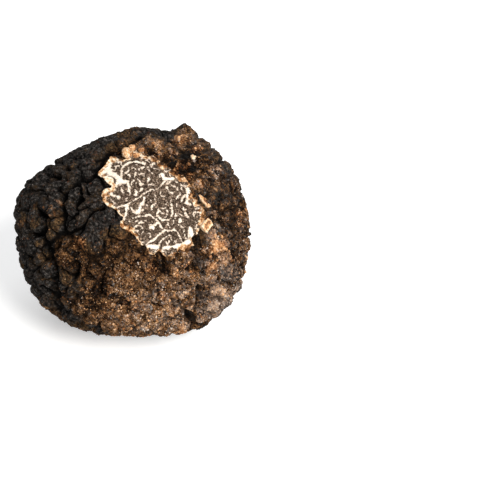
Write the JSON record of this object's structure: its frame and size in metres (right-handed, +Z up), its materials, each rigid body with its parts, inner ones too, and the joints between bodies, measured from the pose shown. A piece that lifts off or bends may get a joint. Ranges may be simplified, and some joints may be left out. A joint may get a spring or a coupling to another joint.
{
  "type": "black truffle",
  "caption": "Whole warty black truffle with a shaved window that shows its white-veined dark flesh, resting on a small flat spot.",
  "frame": {"origin": "centre of the bounding box's bottom, on the flat spot that the truffle rests on", "axes": "+Z up from the flat spot; +X to the right as seen from the front, the truffle's longest way; the front, with the shaved window over it, faces -Y"},
  "size_m": [0.0498, 0.0482, 0.0418],
  "materials": {
    "truffle_skin": "matt, granular charcoal to earth-brown skin of small angular warts, dusted with soil; the shaved window is dark grey-brown flesh with thin cream veins"
  },
  "bodies": {
    "root": {"truffle": "truffle_skin"}
  },
  "joints": []
}
